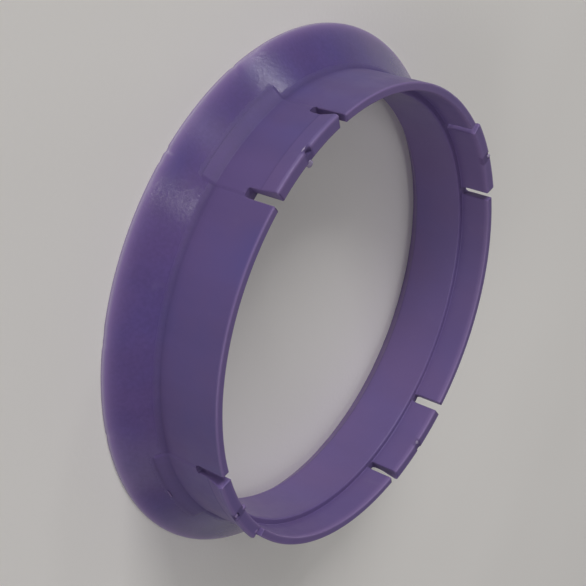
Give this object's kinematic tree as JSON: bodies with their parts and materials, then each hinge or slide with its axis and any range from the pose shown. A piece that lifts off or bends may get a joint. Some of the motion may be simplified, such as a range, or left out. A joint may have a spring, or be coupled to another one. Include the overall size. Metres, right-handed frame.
{
  "type": "hub centric ring",
  "caption": "Moulded plastic spigot ring with a flared flange, a stepped bore and slotted spring tabs that centres a wheel on a smaller hub.",
  "frame": {"origin": "centre of the flange's flat back face, which stands on the floor", "axes": "+Z along the ring's axis, from the flange towards the slotted front edge; +X through the middle of a tab"},
  "size_m": [0.0826, 0.0826, 0.0154],
  "materials": {
    "purple_plastic": "satin moulded plastic, slightly translucent at thin edges"
  },
  "bodies": {
    "root": {"hub_centric_ring": "purple_plastic"}
  },
  "joints": []
}
